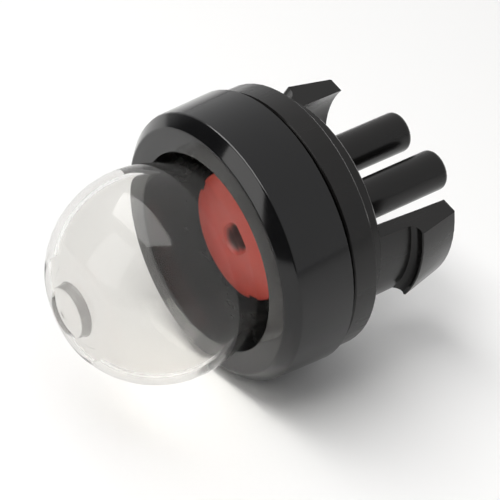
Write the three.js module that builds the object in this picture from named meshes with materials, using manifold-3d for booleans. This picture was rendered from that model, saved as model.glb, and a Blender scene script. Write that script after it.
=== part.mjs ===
// A snap-in primer bulb: a clear squeeze bulb clamped in a round black housing, with a red check
// valve inside, two hose nipples and two snap hooks behind.
// Millimetres. The revolved pieces turn about the Y axis. Y = 0 is the flange's rear face, the
// face that seats on the panel. The bulb points to -Y, the nipples and hooks to +Y, and +Z is up
// as the part lies on its side.
import * as THREE from "three";
import { mergeVertices } from "three/addons/utils/BufferGeometryUtils.js";
import Module from "manifold-3d";

const wasm = await Module();
wasm.setup();

// Fineness of the revolved surfaces
const SEGMENTS = 64;

// Clearances
const SEAT_GAP = 0.3; // between clamped faces, such as the bulb's flange and its seat
const FIT_GAP = 0.3; // radial, between a round piece and the hole that holds it
const RING_GROOVE = 0.4; // the open line between the ring and the base's flange

// Retaining ring
const RING_R = 12.5; // at the rear edge
const RING_FRONT_R = 12.3; // at the chamfer: the wall has a little draft
const RING_FRONT_Y = -9.3;
const RING_LENGTH = 6.45;
const RING_CHAMFER = 1.05;
const RING_BORE_R = 9.05;
const RING_FRONT_WALL = 1.9;
const RING_SKIRT_WALL = 1.3;
const EDGE_BREAK = 0.14; // small broken edges on the moulded pieces

// The bead on the base's spigot that snaps into a groove in the ring's skirt
const SNAP_BEAD = 0.3;
const SNAP_CREST = 0.2;
const SNAP_Y = -4;

// Base
const FLANGE_R = 12.1;
const REGISTER_R = 10.25; // the raised centre that locates in the panel's hole
const REGISTER_HEIGHT = 1.9;
const SPIGOT_FRONT_Y = -5.1;

// Bulb
const BULB_R = 9.4;
const BULB_CENTRE_Y = -14.3;
const BULB_WALL = 0.9;
const BULB_NECK_R = 8.3; // the sphere meets the straight neck in a crease
const CROWN_FLAT = 1.26; // how far the crown is flattened below the sphere's pole
const CROWN_BLEND_R = 2.6; // rounds the flat crown into the sphere
const CORE_MARK_INSET = 0.15; // the faint step that the core pin leaves inside the crown
const CORE_MARK_STEP = 0.06;
const NUB_R = 2.35;
const NUB_HEIGHT = 1.05;
const NUB_EDGE = 0.5;
const NUB_FOOT = 0.15;
const GATE_R = 0.6;
const GATE_DEPTH = 0.14;

// Check valve
const VALVE_R = 5.9;
const VALVE_RIM = 0.28;
const VALVE_CROWN = 0.75; // height of the disc above its seat
const VALVE_BORE_R = 0.95;
const VALVE_MOUTH_R = 1.45;
const STEM_R = 1.75;
const STEM_LENGTH = 5.7;
const LIP_LENGTH = 2.3;
const LIP_HALF_WIDTH = 0.42;
const SLIT_WIDTH = 0.16;

// Hose nipples, at their places along the hooks' line
const NIPPLE_R = 1.88;
const NIPPLE_END_Y = 15.1;
const NIPPLE_EDGE = 0.5;
const PASSAGE_R = 0.85;
const OUTLET_AT = 1.75;
const INLET_AT = -3.55;

// Snap hooks
const HOOK_INNER_R = 8.35;
const HOOK_LEG_R = 9.55;
const HOOK_BARB_R = 10.65;
const HOOK_SHOULDER_Y = 5.7;
const HOOK_UNDERCUT = 0.4; // the barb's lip lies this much behind the shoulder's root
const HOOK_HOLLOW = 0.25; // depth of the rounded hollow between root and lip
const HOOK_LIP = 0.1; // the broken edge of the lip
const HOOK_END_Y = 10.45;
const HOOK_END_R = 9.8;
const HOOK_ROOT_HALF = 4.35; // half widths across the hook
const HOOK_END_HALF = 3.8;

// The hooks' line leans this far from level as the part lies on its side
const ROLL_DEG = 14.7;

// Places that follow from the sizes above
const RING_REAR_Y = RING_FRONT_Y + RING_LENGTH;
const RING_CAVITY_R = RING_FRONT_R - RING_SKIRT_WALL;
const FLANGE_FRONT_Y = RING_REAR_Y + RING_GROOVE;
const SPIGOT_R = RING_CAVITY_R - FIT_GAP;
const BULB_FLANGE_R = RING_CAVITY_R - FIT_GAP;
const BULB_FLANGE_FRONT_Y = RING_FRONT_Y + RING_FRONT_WALL + SEAT_GAP;
const BULB_FLANGE_REAR_Y = SPIGOT_FRONT_Y - SEAT_GAP;
const CROWN_Y = BULB_CENTRE_Y - BULB_R + CROWN_FLAT;
const SNAP_START_Y = SNAP_Y - 2 * SNAP_BEAD;
const SNAP_STOP_Y = SNAP_Y + SNAP_CREST + SNAP_BEAD / 2;
const VALVE_SEAT_Y = SPIGOT_FRONT_Y - SEAT_GAP;
const WELL_R = STEM_R + FIT_GAP;
const WELL_END_Y = VALVE_SEAT_Y + STEM_LENGTH + SEAT_GAP;

// Points on an arc in the profile plane; angles in degrees, 0 along +radius, 90 along +Y
function arc(centreR, centreY, radius, fromDeg, toDeg, steps) {
  const points = [];
  for (let i = 0; i <= steps; i++) {
    const angle = THREE.MathUtils.degToRad(fromDeg + ((toDeg - fromDeg) * i) / steps);
    points.push([centreR + radius * Math.cos(angle), centreY + radius * Math.sin(angle)]);
  }
  return points;
}

// A closed geometry as a solid that can be joined and cut
function solidOf(geometry) {
  const bare = new THREE.BufferGeometry();
  bare.setAttribute("position", geometry.getAttribute("position"));
  if (geometry.index) bare.setIndex(geometry.index);
  const merged = mergeVertices(bare, 1e-4);
  const corners = [];
  for (let i = 0; i < merged.index.count; i += 3) {
    const [a, b, c] = merged.index.array.slice(i, i + 3);
    if (a !== b && b !== c && c !== a) corners.push(a, b, c);
  }
  return new wasm.Manifold(
    new wasm.Mesh({
      numProp: 3,
      vertProperties: new Float32Array(merged.attributes.position.array),
      triVerts: new Uint32Array(corners),
    }),
  );
}

// Turns a profile of [radius, y] points about the Y axis
function revolve(profile, segments = SEGMENTS) {
  const points = profile.map(([r, y]) => new THREE.Vector2(Math.max(r, 0), y));
  const made = solidOf(new THREE.LatheGeometry(points, segments));
  return made.volume() > 0 ? made : revolve([...profile].reverse(), segments);
}

// A plain round pin along Y, moved to a place on the hooks' line
function pinAt(x, radius, fromY, toY, segments = 40) {
  const profile = [
    [0, fromY],
    [radius, fromY],
    [radius, toY],
    [0, toY],
  ];
  return revolve(profile, segments).translate(x, 0, 0);
}

// Extrudes a closed [u, y] outline by a depth that is centred on its plane; u lies along X
function slab(outline, depth) {
  const shape = new THREE.Shape(outline.map(([u, y]) => new THREE.Vector2(u, y)));
  const geometry = new THREE.ExtrudeGeometry(shape, { depth, bevelEnabled: false });
  geometry.translate(0, 0, -depth / 2);
  return solidOf(geometry);
}

// The bulb's wall from the edge of its flat crown to its neck, at an inset from the outer face:
// a blend that is tangent to the crown and to the sphere, then the sphere
function bulbWall(inset) {
  const reach = BULB_R - CROWN_BLEND_R;
  const drop = reach - CROWN_FLAT;
  const blendAtR = Math.sqrt(reach ** 2 - drop ** 2);
  const tangentDeg = THREE.MathUtils.radToDeg(Math.atan2(drop, blendAtR));
  const neckDeg = THREE.MathUtils.radToDeg(Math.acos((BULB_NECK_R - inset) / (BULB_R - inset)));
  return [
    ...arc(blendAtR, BULB_CENTRE_Y - drop, CROWN_BLEND_R - inset, -90, -tangentDeg, 4),
    ...arc(0, BULB_CENTRE_Y, BULB_R - inset, -tangentDeg, neckDeg, 12).slice(1),
  ];
}

// The outside of the bulb, from the gate mark on the nub to the clamped flange's outer edge
function bulbOutside() {
  const nubY = CROWN_Y - NUB_HEIGHT;
  return [
    [0, nubY + GATE_DEPTH],
    [GATE_R * 0.7, nubY + GATE_DEPTH],
    [GATE_R, nubY],
    ...arc(NUB_R - NUB_EDGE, nubY + NUB_EDGE, NUB_EDGE, -90, 0, 4),
    ...arc(NUB_R + NUB_FOOT, CROWN_Y - NUB_FOOT, NUB_FOOT, 180, 90, 2),
    ...bulbWall(0),
    ...arc(BULB_NECK_R + 0.3, BULB_FLANGE_FRONT_Y - 0.3, 0.3, 180, 90, 3),
    [BULB_FLANGE_R - EDGE_BREAK, BULB_FLANGE_FRONT_Y],
    [BULB_FLANGE_R, BULB_FLANGE_FRONT_Y + EDGE_BREAK],
  ];
}

// The inside of the bulb, from the flange's mouth to the crown, which keeps the core pin's mark
function bulbInside() {
  const wall = bulbWall(BULB_WALL);
  const [flatR, crownY] = wall[0];
  const markR = flatR - CORE_MARK_INSET;
  return [
    [BULB_FLANGE_R, BULB_FLANGE_REAR_Y],
    [BULB_NECK_R - BULB_WALL, BULB_FLANGE_REAR_Y],
    ...wall.reverse(),
    [markR, crownY],
    [markR - CORE_MARK_STEP, crownY - CORE_MARK_STEP],
    [0, crownY - CORE_MARK_STEP],
  ];
}

function makeBulb() {
  return revolve([...bulbOutside(), ...bulbInside()]);
}

// The ring is a cap with a bore for the bulb's neck and a skirt that covers the clamped flange
// and snaps over the base's bead
function makeRetainingRing() {
  const chamferInR = RING_FRONT_R - RING_CHAMFER;
  return revolve([
    [RING_BORE_R, RING_FRONT_Y + EDGE_BREAK],
    [RING_BORE_R + EDGE_BREAK, RING_FRONT_Y],
    [chamferInR - EDGE_BREAK, RING_FRONT_Y],
    [chamferInR + EDGE_BREAK * 0.7, RING_FRONT_Y + EDGE_BREAK * 0.7],
    [RING_FRONT_R - EDGE_BREAK * 0.7, RING_FRONT_Y + RING_CHAMFER - EDGE_BREAK * 0.7],
    [RING_FRONT_R, RING_FRONT_Y + RING_CHAMFER + EDGE_BREAK],
    [RING_R, RING_REAR_Y - EDGE_BREAK],
    [RING_R - EDGE_BREAK, RING_REAR_Y],
    [RING_CAVITY_R, RING_REAR_Y],
    [RING_CAVITY_R, SNAP_STOP_Y + SEAT_GAP],
    [RING_CAVITY_R + SNAP_BEAD, SNAP_STOP_Y + SEAT_GAP],
    [RING_CAVITY_R + SNAP_BEAD, SNAP_START_Y],
    [RING_CAVITY_R, SNAP_START_Y - SEAT_GAP],
    [RING_CAVITY_R, RING_FRONT_Y + RING_FRONT_WALL],
    [RING_BORE_R, RING_FRONT_Y + RING_FRONT_WALL],
    [RING_BORE_R, RING_FRONT_Y + EDGE_BREAK],
  ]);
}

// The umbrella disc and its hollow stem, before the stem's end is squeezed to two lips
function valveBlank() {
  const crownY = VALVE_SEAT_Y - VALVE_CROWN;
  const stemEndY = VALVE_SEAT_Y + STEM_LENGTH;
  return revolve(
    [
      [VALVE_BORE_R, stemEndY - LIP_LENGTH],
      [VALVE_BORE_R, crownY + 0.55],
      [VALVE_MOUTH_R - 0.3, crownY + 0.2],
      [VALVE_MOUTH_R, crownY],
      [VALVE_MOUTH_R + 0.9, crownY + 0.03],
      [VALVE_R * 0.6, crownY + 0.12],
      [VALVE_R * 0.85, crownY + 0.28],
      [VALVE_R - 0.12, VALVE_SEAT_Y - VALVE_RIM],
      [VALVE_R, VALVE_SEAT_Y - VALVE_RIM * 0.5],
      [VALVE_R - 0.06, VALVE_SEAT_Y],
      [VALVE_R * 0.55, VALVE_SEAT_Y - 0.12],
      [STEM_R + 0.25, VALVE_SEAT_Y - 0.05],
      [STEM_R, VALVE_SEAT_Y + 0.25],
      [STEM_R, stemEndY],
      [0, stemEndY],
      [0, stemEndY - LIP_LENGTH * 0.75],
      [VALVE_BORE_R, stemEndY - LIP_LENGTH],
    ],
    60,
  );
}

// Two sloping cuts leave the duckbill's lips, and a thin slit parts them
function makeCheckValve() {
  const endY = VALVE_SEAT_Y + STEM_LENGTH;
  const startY = endY - LIP_LENGTH;
  const reach = STEM_R + 1;
  const side = [
    [STEM_R, startY],
    [reach, startY],
    [reach, endY + 1],
    [LIP_HALF_WIDTH, endY + 1],
    [LIP_HALF_WIDTH, endY],
  ];
  const otherSide = side.map(([u, y]) => [-u, y]).reverse();
  const slit = slab(
    [
      [-SLIT_WIDTH / 2, startY - 0.3],
      [SLIT_WIDTH / 2, startY - 0.3],
      [SLIT_WIDTH / 2, endY + 1],
      [-SLIT_WIDTH / 2, endY + 1],
    ],
    STEM_R * 1.3,
  );
  return valveBlank()
    .subtract(slab(side, 2 * reach))
    .subtract(slab(otherSide, 2 * reach))
    .subtract(slit);
}

// Spigot, flange and register in one turned outline
function baseBody() {
  return revolve([
    [0, SPIGOT_FRONT_Y],
    [SPIGOT_R - EDGE_BREAK, SPIGOT_FRONT_Y],
    [SPIGOT_R, SPIGOT_FRONT_Y + EDGE_BREAK],
    [SPIGOT_R, SNAP_START_Y],
    [SPIGOT_R + SNAP_BEAD, SNAP_Y],
    [SPIGOT_R + SNAP_BEAD, SNAP_Y + SNAP_CREST],
    [SPIGOT_R, SNAP_STOP_Y],
    [SPIGOT_R, FLANGE_FRONT_Y],
    [FLANGE_R - EDGE_BREAK, FLANGE_FRONT_Y],
    [FLANGE_R, FLANGE_FRONT_Y + EDGE_BREAK],
    ...arc(FLANGE_R - 0.25, -0.25, 0.25, 0, 90, 3),
    [REGISTER_R, 0],
    [REGISTER_R, REGISTER_HEIGHT - EDGE_BREAK],
    [REGISTER_R - EDGE_BREAK, REGISTER_HEIGHT],
    [0, REGISTER_HEIGHT],
  ]);
}

// The rounded hollow under a hook's lip, from the leg out to the lip
function hookHollow(steps = 4) {
  const points = [];
  for (let i = 0; i <= steps; i++) {
    const part = i / steps;
    const bow = 4 * HOOK_HOLLOW * part * (1 - part);
    points.push([
      HOOK_LEG_R + (HOOK_BARB_R - HOOK_LIP - HOOK_LEG_R) * part,
      HOOK_SHOULDER_Y + HOOK_UNDERCUT * part + bow,
    ]);
  }
  return points;
}

// A full hook-shaped collar, of which a tapering slab keeps two opposite hooks
function snapHooks() {
  const rootY = REGISTER_HEIGHT - 0.5;
  const collar = revolve([
    [HOOK_INNER_R, rootY],
    [HOOK_LEG_R, rootY],
    ...hookHollow(),
    [HOOK_BARB_R, HOOK_SHOULDER_Y + HOOK_UNDERCUT + HOOK_LIP],
    [HOOK_END_R, HOOK_END_Y - HOOK_LIP],
    [HOOK_END_R - HOOK_LIP, HOOK_END_Y],
    [HOOK_INNER_R, HOOK_END_Y],
    [HOOK_INNER_R, rootY],
  ]);
  const keep = slab(
    [
      [-HOOK_ROOT_HALF, rootY - 1],
      [HOOK_ROOT_HALF, rootY - 1],
      [HOOK_END_HALF, HOOK_END_Y + 0.01],
      [-HOOK_END_HALF, HOOK_END_Y + 0.01],
    ],
    4 * HOOK_BARB_R,
  ).rotate(0, 90, 0);
  return collar.intersect(keep);
}

// A straight hose nipple with a rounded end
function nipple(at) {
  const profile = [
    [0, REGISTER_HEIGHT - 0.5],
    [NIPPLE_R, REGISTER_HEIGHT - 0.5],
    ...arc(NIPPLE_R - NIPPLE_EDGE, NIPPLE_END_Y - NIPPLE_EDGE, NIPPLE_EDGE, 0, 90, 4),
    [0, NIPPLE_END_Y],
  ];
  return revolve(profile, 48).translate(at, 0, 0);
}

// The channel under the valve's rim, which the inlet feeds
function inletChannel() {
  const halfWidth = PASSAGE_R * 0.9;
  const middleR = Math.abs(INLET_AT);
  return revolve([
    [middleR - halfWidth, SPIGOT_FRONT_Y - 1],
    [middleR + halfWidth, SPIGOT_FRONT_Y - 1],
    [middleR + halfWidth, SPIGOT_FRONT_Y + 1],
    [middleR - halfWidth, SPIGOT_FRONT_Y + 1],
    [middleR - halfWidth, SPIGOT_FRONT_Y - 1],
  ]);
}

// Stem well, inlet channel and the passages out through both nipples
function makeBase() {
  const past = NIPPLE_END_Y + 1;
  return baseBody()
    .add(snapHooks())
    .add(nipple(OUTLET_AT))
    .add(nipple(INLET_AT))
    .subtract(pinAt(0, WELL_R, SPIGOT_FRONT_Y - 1, WELL_END_Y))
    .subtract(inletChannel())
    .subtract(pinAt(OUTLET_AT, PASSAGE_R, WELL_END_Y - 1.6, past))
    .subtract(pinAt(INLET_AT, PASSAGE_R, SPIGOT_FRONT_Y + 0.5, past));
}

// A named mesh in its place, leaned as the part lies
function asMesh(name, solid, colour, look = {}) {
  const made = solid.rotate(0, ROLL_DEG, 0).getMesh();
  const geometry = new THREE.BufferGeometry();
  geometry.setAttribute("position", new THREE.BufferAttribute(made.vertProperties, 3));
  geometry.setIndex(new THREE.BufferAttribute(made.triVerts, 1));
  geometry.computeVertexNormals();
  const mesh = new THREE.Mesh(geometry, new THREE.MeshStandardMaterial({ color: colour, ...look }));
  mesh.name = name;
  return mesh;
}

const primerBulb = new THREE.Group();
primerBulb.add(
  asMesh("bulb", makeBulb(), 0xe4e5e2, { transparent: true, opacity: 0.45, roughness: 0.15 }),
  asMesh("retaining_ring", makeRetainingRing(), 0x2b2b2d, { roughness: 0.3 }),
  asMesh("check_valve", makeCheckValve(), 0xb5483c, { roughness: 0.5 }),
  asMesh("base", makeBase(), 0x2b2b2d, { roughness: 0.35 }),
);

export default primerBulb;
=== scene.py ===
# %% [markdown]
# # A snap-in primer bulb
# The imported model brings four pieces: the clear squeeze bulb, the black retaining ring, the red
# check valve and the black base with its nipples and hooks. Their shapes are already right, so
# this lesson is about finishes: clear soft plastic, glossy black plastic and red rubber.

# %% Load the pieces
import math

import bpy
from mathutils import Matrix, Vector


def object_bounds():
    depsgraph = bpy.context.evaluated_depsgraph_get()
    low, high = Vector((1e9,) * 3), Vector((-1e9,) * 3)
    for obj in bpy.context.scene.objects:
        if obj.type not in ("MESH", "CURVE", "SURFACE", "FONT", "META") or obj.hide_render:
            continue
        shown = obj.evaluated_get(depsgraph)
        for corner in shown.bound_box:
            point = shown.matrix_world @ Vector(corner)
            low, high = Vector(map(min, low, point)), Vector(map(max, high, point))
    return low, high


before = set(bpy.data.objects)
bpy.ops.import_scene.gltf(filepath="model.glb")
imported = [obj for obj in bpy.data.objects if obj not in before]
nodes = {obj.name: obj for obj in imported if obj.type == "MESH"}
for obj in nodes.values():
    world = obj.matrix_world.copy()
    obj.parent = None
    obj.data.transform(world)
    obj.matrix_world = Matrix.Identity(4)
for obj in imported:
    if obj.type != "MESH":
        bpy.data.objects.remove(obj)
cad_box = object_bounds()
scene = bpy.context.scene
print("pieces:", sorted(nodes), "lowest point:", round(cad_box[0][2] * 1000, 2), "mm")

# %% [markdown]
# ## Smooth walls, crisp edges
# The pieces arrive as loose flat triangles. Smooth shading would round every corner, and flat
# shading would show the facets. A small node modifier first joins the triangles' corners, then
# shades smooth only where two faces meet at a small angle. A second modifier lets the broad faces
# lead the shading, so that a chamfer stays flat right up to its edge. The mesh itself is left as
# it came.

# %% Shade the moulded walls smooth
WELD_DISTANCE = 2e-6
BROAD_FACE_WEIGHT = 60
SMOOTH_BELOW_DEGREES = {"bulb": 24, "retaining_ring": 50, "check_valve": 32, "base": 26}


def join_and_smooth(piece, degrees):
    """A modifier that welds the corners and smooths edges that bend less than this angle."""
    group = bpy.data.node_groups.new("smooth_" + piece.name, "GeometryNodeTree")
    group.interface.new_socket("Geometry", in_out="INPUT", socket_type="NodeSocketGeometry")
    group.interface.new_socket("Geometry", in_out="OUTPUT", socket_type="NodeSocketGeometry")
    arrive = group.nodes.new("NodeGroupInput")
    leave = group.nodes.new("NodeGroupOutput")
    drop = group.nodes.new("GeometryNodeRemoveAttribute")
    drop.inputs["Name"].default_value = "custom_normal"
    weld = group.nodes.new("GeometryNodeMergeByDistance")
    weld.inputs["Distance"].default_value = WELD_DISTANCE
    bend = group.nodes.new("GeometryNodeInputMeshEdgeAngle")
    gentle = group.nodes.new("FunctionNodeCompare")
    gentle.operation = "LESS_THAN"
    gentle.inputs["B"].default_value = math.radians(degrees)
    faces = group.nodes.new("GeometryNodeSetShadeSmooth")
    edges = group.nodes.new("GeometryNodeSetShadeSmooth")
    edges.domain = "EDGE"
    link = group.links.new
    link(arrive.outputs[0], drop.inputs["Geometry"])
    link(drop.outputs["Geometry"], weld.inputs["Geometry"])
    link(weld.outputs["Geometry"], faces.inputs["Geometry"])
    link(faces.outputs["Geometry"], edges.inputs["Geometry"])
    link(bend.outputs["Unsigned Angle"], gentle.inputs["A"])
    link(gentle.outputs["Result"], edges.inputs["Shade Smooth"])
    link(edges.outputs["Geometry"], leave.inputs[0])
    modifier = piece.modifiers.new("smooth_walls", "NODES")
    modifier.node_group = group
    broad = piece.modifiers.new("broad_faces_lead", "WEIGHTED_NORMAL")
    broad.mode = "FACE_AREA"
    broad.weight = BROAD_FACE_WEIGHT
    broad.keep_sharp = True


for name, degrees in SMOOTH_BELOW_DEGREES.items():
    join_and_smooth(nodes[name], degrees)
    shown = nodes[name].evaluated_get(bpy.context.evaluated_depsgraph_get()).data
    print(name, len(nodes[name].data.vertices), "corners joined to", len(shown.vertices))

# %% [markdown]
# ## Small helpers for finishes
# Every finish on the part is built on one Principled shader. Its roughness and its bump come from
# noise, because a moulded surface is never even. Noise reads the object's own coordinates in
# metres, so a scale of 1000 makes grains of about a millimetre.

# %% Finish helpers
def new_finish(name, base, roughness, **sockets):
    """A material with one Principled shader; returns it with its node tree and shader."""
    finish = bpy.data.materials.new(name)
    finish.use_nodes = True
    tree = finish.node_tree
    shader = tree.nodes["Principled BSDF"]
    shader.inputs["Base Color"].default_value = (*base, 1)
    shader.inputs["Roughness"].default_value = roughness
    for socket, value in sockets.items():
        shader.inputs[socket.replace("_", " ")].default_value = value
    return finish, tree, shader


def grain(tree, scale, detail=3.0, stretch=(1, 1, 1)):
    """Noise in the object's own space, as a socket."""
    place = tree.nodes.new("ShaderNodeTexCoord")
    turn = tree.nodes.new("ShaderNodeMapping")
    turn.inputs["Scale"].default_value = stretch
    noise = tree.nodes.new("ShaderNodeTexNoise")
    noise.inputs["Scale"].default_value = scale
    noise.inputs["Detail"].default_value = detail
    tree.links.new(place.outputs["Object"], turn.inputs["Vector"])
    tree.links.new(turn.outputs["Vector"], noise.inputs["Vector"])
    return noise.outputs["Fac"]


def spread(tree, value, low, high, from_low=0.3, from_high=0.7):
    """Maps a socket from one range to the range that a finish needs."""
    span = tree.nodes.new("ShaderNodeMapRange")
    span.inputs["From Min"].default_value = from_low
    span.inputs["From Max"].default_value = from_high
    span.inputs["To Min"].default_value = low
    span.inputs["To Max"].default_value = high
    tree.links.new(value, span.inputs["Value"])
    return span.outputs["Result"]


def blend_colours(tree, fac, first, second):
    """Mixes two colours by a socket; each colour is three numbers or a socket itself."""
    mix = tree.nodes.new("ShaderNodeMix")
    mix.data_type = "RGBA"
    for side, colour in (("A", first), ("B", second)):
        if isinstance(colour, tuple):
            mix.inputs[side].default_value = (*colour, 1)
        else:
            tree.links.new(colour, mix.inputs[side])
    tree.links.new(fac, mix.inputs["Factor"])
    return mix.outputs["Result"]


def off_axis(tree):
    """Distance from the part's long axis, in metres, as a socket."""
    place = tree.nodes.new("ShaderNodeTexCoord")
    flat = tree.nodes.new("ShaderNodeVectorMath")
    flat.operation = "MULTIPLY"
    flat.inputs[1].default_value = (1, 0, 1)
    length = tree.nodes.new("ShaderNodeVectorMath")
    length.operation = "LENGTH"
    tree.links.new(place.outputs["Object"], flat.inputs[0])
    tree.links.new(flat.outputs["Vector"], length.inputs[0])
    return length.outputs["Value"]


def add_bump(tree, shader, height, distance, strength=0.5):
    """Bump of a real height in metres."""
    bump = tree.nodes.new("ShaderNodeBump")
    bump.inputs["Distance"].default_value = distance
    bump.inputs["Strength"].default_value = strength
    tree.links.new(height, bump.inputs["Height"])
    tree.links.new(bump.outputs["Normal"], shader.inputs["Normal"])


def wear(piece_name, finish):
    """Puts one finish on a whole piece."""
    piece = nodes[piece_name]
    piece.data.materials.clear()
    piece.data.materials.append(finish)
    for face in piece.data.polygons:
        face.material_index = 0
    print(piece_name, "wears", finish.name)


# %% [markdown]
# ## Glossy black plastic: the retaining ring
# The ring is a polished moulding. It is nearly black in itself, and what the eye reads as grey is
# the reflection of the bright room, so the base colour stays very dark and the gloss does the rest.

# %% Ring finish
ring_finish, tree, shader = new_finish(
    "ring_black", (0.005, 0.005, 0.0055), 0.12, Specular_IOR_Level=0.45
)
tree.links.new(spread(tree, grain(tree, 380), 0.09, 0.16), shader.inputs["Roughness"])
tree.links.new(
    blend_colours(tree, grain(tree, 160), (0.003, 0.003, 0.0035), (0.007, 0.007, 0.0075)),
    shader.inputs["Base Color"],
)
add_bump(tree, shader, grain(tree, 900, 2), 0.00001, 0.12)
wear("retaining_ring", ring_finish)

# %% [markdown]
# ## Satin black plastic: the base
# The base comes from a plainer mould than the ring. It is a little rougher, with faint flow
# streaks along its nipples, which noise stretched along the axis gives.

# %% Base finish
base_finish, tree, shader = new_finish(
    "base_black", (0.006, 0.0055, 0.005), 0.24, Specular_IOR_Level=0.36
)
streaks = grain(tree, 600, 3, stretch=(1, 0.15, 1))
tree.links.new(spread(tree, streaks, 0.18, 0.3), shader.inputs["Roughness"])
tree.links.new(
    blend_colours(tree, grain(tree, 220), (0.004, 0.004, 0.004), (0.009, 0.008, 0.0075)),
    shader.inputs["Base Color"],
)
add_bump(tree, shader, grain(tree, 1300, 3), 0.00002, 0.2)
wear("base", base_finish)

# %% [markdown]
# ## Red rubber: the check valve
# The valve is a soft silicone disc. It has a broad, dull shine with an uneven fine grain, and a
# little light scatters inside it. Little light comes back out of the hole in its middle, so painted
# shade turns the base colour nearly black inside the radius of the bore.

# %% Valve finish
BORE_EDGE = 0.00105
RIM_EDGE = 0.0013
# painted shade: the colour that the red is darkened to inside the bore's radius
BORE_PAINTED_SHADE = (0.06, 0.012, 0.01)

valve_finish, tree, shader = new_finish(
    "valve_red", (0.4, 0.05, 0.03), 0.36, Subsurface_Weight=0.08, Subsurface_Scale=0.3
)
shader.inputs["Subsurface Radius"].default_value = (0.0012, 0.0004, 0.0003)
red = blend_colours(tree, grain(tree, 700), (0.36, 0.032, 0.02), (0.47, 0.055, 0.034))
# painted shade: the base colour goes nearly black inside the bore, where little light comes back out
outside_bore_shade = spread(tree, off_axis(tree), 0, 1, BORE_EDGE, RIM_EDGE)
tree.links.new(blend_colours(tree, outside_bore_shade, BORE_PAINTED_SHADE, red), shader.inputs["Base Color"])
tree.links.new(spread(tree, grain(tree, 900), 0.28, 0.44), shader.inputs["Roughness"])
add_bump(tree, shader, grain(tree, 2400, 3), 0.00003, 0.3)
wear("check_valve", valve_finish)

# %% [markdown]
# ## Clear soft plastic: the bulb
# The bulb is clear with a slight milkiness: nearly all of its weight is transmission, and the small
# rest is plain white, a veil over the dark inside. Its wall is thin, so it hardly bends light, and
# a low index of refraction keeps dark bands off the valve behind it. The crown bends light a
# little more. The flank of its solid nub looks grey on the real bulb because it lies in shade, and
# here a narrow band of painted shade in the colour gives that. Only the outer skin and the crown
# carry a coat, the layer that mirrors the lamps. A closed clear shell would hold back the lamps'
# light, so shadow rays meet a pale transparent shader instead.

# %% Bulb finishes
NUB_SIDE = 0.00235
NUB_SIDE_HALF_WIDTH = 0.00008
# painted shade: the grey of the nub's flank, painted into the crown's colour
NUB_SIDE_PAINTED_SHADE = (0.22, 0.215, 0.21)
DOME_CENTRE = Vector((0, -0.0143, 0))
NECK_START = -0.01
CROWN_END = -0.0222
SKIN, LINING, CROWN = range(3)


def clear_plastic(name, index, coat, white, haze=0.06):
    """Clear plastic with a given index of refraction, coat, share of plain white and roughness."""
    finish, tree, shader = new_finish(
        name,
        (0.88, 0.875, 0.86),
        haze,
        Transmission_Weight=1 - white,
        IOR=index,
        Coat_Weight=coat,
        Coat_Roughness=0.1,
    )
    cloud = blend_colours(tree, grain(tree, 240), (0.86, 0.855, 0.84), (0.9, 0.895, 0.88))
    tree.links.new(cloud, shader.inputs["Base Color"])
    tree.links.new(spread(tree, grain(tree, 260), 0.5 * haze, 1.3 * haze), shader.inputs["Roughness"])
    add_bump(tree, shader, grain(tree, 420, 2), 0.000005, 0.06)
    let_shadow_rays_through(tree, shader)
    return finish


def let_shadow_rays_through(tree, shader):
    """Shows shadow rays a pale transparent shader in place of the clear plastic."""
    pass_light = tree.nodes.new("ShaderNodeBsdfTransparent")
    pass_light.inputs["Color"].default_value = (0.86, 0.86, 0.855, 1)
    rays = tree.nodes.new("ShaderNodeLightPath")
    choose = tree.nodes.new("ShaderNodeMixShader")
    tree.links.new(rays.outputs["Is Shadow Ray"], choose.inputs[0])
    tree.links.new(shader.outputs[0], choose.inputs[1])
    tree.links.new(pass_light.outputs[0], choose.inputs[2])
    tree.links.new(choose.outputs[0], tree.nodes["Material Output"].inputs["Surface"])


def paint_shade_band(finish, radius, half_width, dark):
    """Paints shade into a finish's colour in a narrow band at one distance from the axis."""
    tree = finish.node_tree
    colour = tree.nodes["Principled BSDF"].inputs["Base Color"]
    away = tree.nodes.new("ShaderNodeMath")
    away.operation = "SUBTRACT"
    away.inputs[1].default_value = radius
    gap = tree.nodes.new("ShaderNodeMath")
    gap.operation = "ABSOLUTE"
    tree.links.new(off_axis(tree), away.inputs[0])
    tree.links.new(away.outputs[0], gap.inputs[0])
    outside_band = spread(tree, gap.outputs[0], 0, 1, half_width, 2 * half_width)
    clear = colour.links[0].from_socket
    tree.links.new(blend_colours(tree, outside_band, dark, clear), colour)


def region_of(face, corners):
    """Which of the bulb's finishes a face wears, from its height and the way it faces."""
    heights = [corners[i].co.y for i in face.vertices]
    if max(heights) < CROWN_END:
        return CROWN
    faces_in = face.normal.dot(face.center - DOME_CENTRE) < 0
    return LINING if faces_in or min(heights) > NECK_START else SKIN


# %% [markdown]
# ## One bulb, three finishes
# The bulb is one moulding, so its three finishes meet along its own edges: where the dome meets the
# neck, at the rim of the flat crown, and between the outside and the inside. Each face is sorted by
# its height along the axis and by whether it faces the middle of the dome.

# %% Dress the bulb
bulb = nodes["bulb"]
wear("bulb", clear_plastic("clear_skin", index=1.035, coat=0.55, white=0.028))
bulb.data.materials.append(clear_plastic("clear_lining", index=1.035, coat=0.0, white=0.006))
crown = clear_plastic("clear_crown", index=1.12, coat=0.4, white=0.04)
# painted shade: a grey band on the nub's flank, in the crown's colour
paint_shade_band(crown, NUB_SIDE, NUB_SIDE_HALF_WIDTH, NUB_SIDE_PAINTED_SHADE)
bulb.data.materials.append(crown)

tally = [0, 0, 0]
for face in bulb.data.polygons:
    face.material_index = region_of(face, bulb.data.vertices)
    tally[face.material_index] += 1
print("skin, lining and crown faces:", tally)

# %% [markdown]
# ## Floor
# The part lies on its collar on a white table. The table is a wide plain sheet just under the
# lowest point, matt and nearly white, so the lamps bring it to white and the shadow stays soft.

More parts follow.
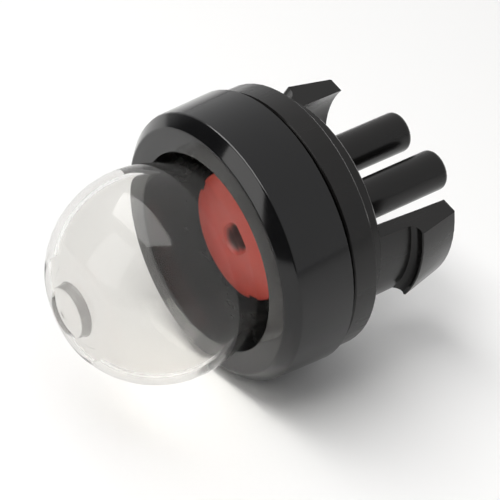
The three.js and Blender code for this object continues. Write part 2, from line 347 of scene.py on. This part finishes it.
# %% Lay the floor
FLOOR_SIZE = 6
floor_z = cad_box[0][2]
bpy.ops.mesh.primitive_grid_add(
    x_subdivisions=4, y_subdivisions=4, size=FLOOR_SIZE, location=(0, 0, floor_z)
)
floor = bpy.context.object
floor.name = "floor"
floor_finish, tree, shader = new_finish("floor_white", (0.88, 0.88, 0.88), 0.7)
floor.data.materials.append(floor_finish)
print("floor at", round(floor_z * 1000, 2), "mm")

# %% [markdown]
# ## Lamps
# Gloss shows the room, so the lamps' places matter as much as their strength. A wide box overhead
# lights everything softly. It shows in the top of the collar and as the large window on the bulb.
# A second box in front is there for its reflection only: it puts the pale patch on the ring's
# chamfer and a faint smaller window on the dome. It doesn't light matt surfaces, so it adds no
# shadow of its own.

# %% Hang the lamps
LAMP_COLOUR = (1.0, 0.99, 0.975)


def soft_box(name, corner, along, up, radiance):
    """A flat lamp of a given radiance, spanned from one corner by two edges at a right angle."""
    corner, along, up = Vector(corner), Vector(along), Vector(up)
    width, side = along.length, along.normalized()
    up -= side * up.dot(side)
    middle = corner + along / 2 + up / 2
    back = side.cross(up).normalized()
    if back.dot(middle) < 0:
        side, back = -side, -back
    data = bpy.data.lights.new(name, "AREA")
    data.shape = "RECTANGLE"
    data.size = width
    data.size_y = up.length
    data.energy = radiance * math.pi * width * up.length
    data.color = LAMP_COLOUR
    box = bpy.data.objects.new(name, data)
    turn = Matrix((side, up.normalized(), back)).transposed().to_4x4()
    box.matrix_world = Matrix.Translation(middle) @ turn
    scene.collection.objects.link(box)
    return box


soft_box(
    "overhead_box",
    corner=(0.22, -0.005, 0.39),
    along=(-0.6, 0.048, -0.078),
    up=(-0.045, -0.245, 0.21),
    radiance=5.6,
)
front_box = soft_box(
    "front_box",
    corner=(-0.21, -0.42, 0.115),
    along=(0.32, 0, 0),
    up=(0, 0.12, 0.345),
    radiance=2.4,
)
front_box.visible_diffuse = False

# %% [markdown]
# ## The room
# The room is pale behind the part and dark in front of it. The dark side leaves the chamfer black
# beside its patch. Rays seen through the clear bulb meet a pale room all round. From the camera's
# own side that changes little, and from behind it keeps the bulb's edge from turning dark.

# %% Paint the room
DARK_SIDE = 0.04
PALE_SIDE = 0.7
SEEN_THROUGH_BULB = 0.7
DARK_UNTIL_Y = -0.45
PALE_FROM_Y = 0.15

world = bpy.data.worlds.new("pale_room")
scene.world = world
world.use_nodes = True
room = world.node_tree
backdrop = room.nodes["Background"]
backdrop.inputs["Color"].default_value = (1, 1, 1, 1)
way = room.nodes.new("ShaderNodeTexCoord")
parts = room.nodes.new("ShaderNodeSeparateXYZ")
room.links.new(way.outputs["Generated"], parts.inputs["Vector"])
front_to_back = spread(room, parts.outputs["Y"], DARK_SIDE, PALE_SIDE, DARK_UNTIL_Y, PALE_FROM_Y)
front_to_back.node.interpolation_type = "SMOOTHSTEP"
kind = room.nodes.new("ShaderNodeLightPath")
through = room.nodes.new("ShaderNodeMath")
through.operation = "MULTIPLY"
through.inputs[1].default_value = SEEN_THROUGH_BULB
lighter = room.nodes.new("ShaderNodeMath")
lighter.operation = "MAXIMUM"
room.links.new(kind.outputs["Is Transmission Ray"], through.inputs[0])
room.links.new(through.outputs[0], lighter.inputs[0])
room.links.new(front_to_back, lighter.inputs[1])
room.links.new(lighter.outputs[0], backdrop.inputs["Strength"])
print("room:", DARK_SIDE, "in front,", PALE_SIDE, "behind")

# %% [markdown]
# ## Camera
# A long lens, several part lengths away, keeps the round collar free of perspective stretch. The
# camera looks down at the part from in front and to the right, so the bulb points to the lower
# left.

# %% Place the camera
AZIMUTH = math.radians(53.2)
ELEVATION = math.radians(36.5)
DISTANCE = 0.21305
AIM = Vector((0.00226, -0.0061, 0.0002))
SENSOR_WIDTH = 36
LENS = 180

camera_data = bpy.data.cameras.new("camera")
camera_data.sensor_width = SENSOR_WIDTH
camera_data.lens = LENS
camera_data.clip_start = 0.01
camera = bpy.data.objects.new("camera", camera_data)
scene.collection.objects.link(camera)
level = Vector((math.sin(AZIMUTH), -math.cos(AZIMUTH), 0))
towards = level * math.cos(ELEVATION) + Vector((0, 0, math.sin(ELEVATION)))
camera.location = AIM + towards * DISTANCE
camera.rotation_euler = (-towards).to_track_quat("-Z", "Y").to_euler()
scene.camera = camera
scene.view_settings.view_transform = "Standard"
print("camera at", [round(c, 4) for c in camera.location])
